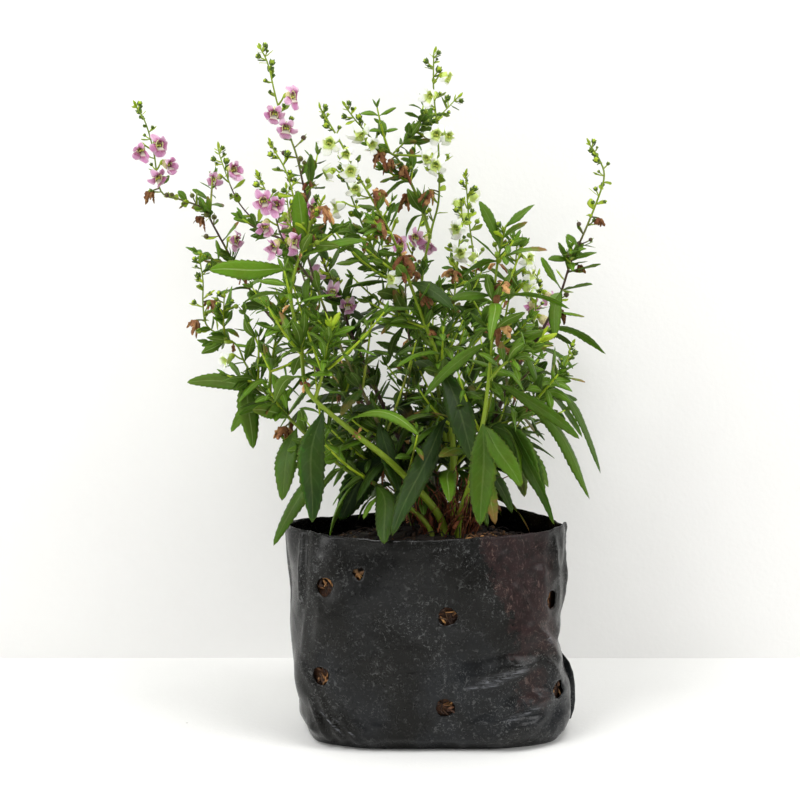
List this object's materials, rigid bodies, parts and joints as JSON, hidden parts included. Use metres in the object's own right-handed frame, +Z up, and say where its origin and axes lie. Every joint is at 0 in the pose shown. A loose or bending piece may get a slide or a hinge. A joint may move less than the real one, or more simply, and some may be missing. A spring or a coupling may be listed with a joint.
{
  "type": "potted angelonia",
  "caption": "Bushy angelonia with pink and white flower spikes, rooted in a squat black film nursery bag with punched drainage holes.",
  "frame": {"origin": "middle of the bag's flat foot, on the surface that it stands on", "axes": "+Z up, +X towards the bag's right side seam as seen from the front, -Y towards the front"},
  "size_m": [0.2605, 0.1805, 0.3676],
  "materials": {
    "film": "black polythene film with a dull sheen, soft creases and pale dust",
    "soil": "rough brown coir and compost",
    "green": "satin leaves, brighter at the young tips and on the thick stems, dark brown on the stems of the pink flowers",
    "pink_petal": "soft mauve petals with a pale spotted throat",
    "white_petal": "thin white petals with a yellow-green cup",
    "dry_stalk": "dull reddish brown"
  },
  "bodies": {
    "root": {"grow_bag": "film", "soil": "soil", "dry_stalks": "dry_stalk", "far_left_stem": "green", "far_left_bloom_1": "pink_petal", "far_left_bloom_2": "pink_petal", "far_left_bloom_3": "pink_petal", "far_left_bloom_4": "pink_petal", "far_left_bloom_5": "pink_petal", "tall_pink_stem": "green", "tall_pink_bloom_1": "pink_petal", "tall_pink_bloom_2": "pink_petal", "tall_pink_bloom_3": "pink_petal", "tall_pink_bloom_4": "pink_petal", "tall_pink_bloom_5": "pink_petal", "tall_pink_bloom_6": "pink_petal", "tall_pink_bloom_7": "pink_petal", "cluster_pink_stem": "green", "cluster_pink_bloom_1": "pink_petal", "cluster_pink_bloom_2": "pink_petal", "cluster_pink_bloom_3": "pink_petal", "thick_green_stem": "green", "low_left_stem": "green", "low_left_bloom_1": "white_petal", "inner_left_stem": "green", "white_left_stem": "green", "white_left_bloom_1": "white_petal", "white_left_bloom_2": "white_petal", "white_left_bloom_3": "white_petal", "white_left_bloom_4": "white_petal", "white_left_bloom_5": "white_petal", "white_left_bloom_6": "white_petal", "white_tall_stem": "green", "white_tall_bloom_1": "white_petal", "white_tall_bloom_2": "white_petal", "white_tall_bloom_3": "white_petal", "white_tall_bloom_4": "white_petal", "white_tall_bloom_5": "white_petal", "mid_white_stem": "green", "mid_white_bloom_1": "white_petal", "mid_white_bloom_2": "white_petal", "mid_pink_stem": "green", "mid_pink_bloom_1": "pink_petal", "mid_pink_bloom_2": "pink_petal", "right_green_stem": "green", "right_white_stem": "green", "right_white_bloom_1": "white_petal", "far_right_stem": "green", "back_left_stem": "green", "back_left_bloom_1": "pink_petal", "back_left_bloom_2": "pink_petal", "back_left_bloom_3": "pink_petal", "back_mid_stem": "green", "back_mid_bloom_1": "white_petal", "back_mid_bloom_2": "white_petal", "back_right_stem": "green", "back_right_bloom_1": "pink_petal", "back_right_bloom_2": "pink_petal", "back_right_bloom_3": "pink_petal"}
  },
  "joints": []
}
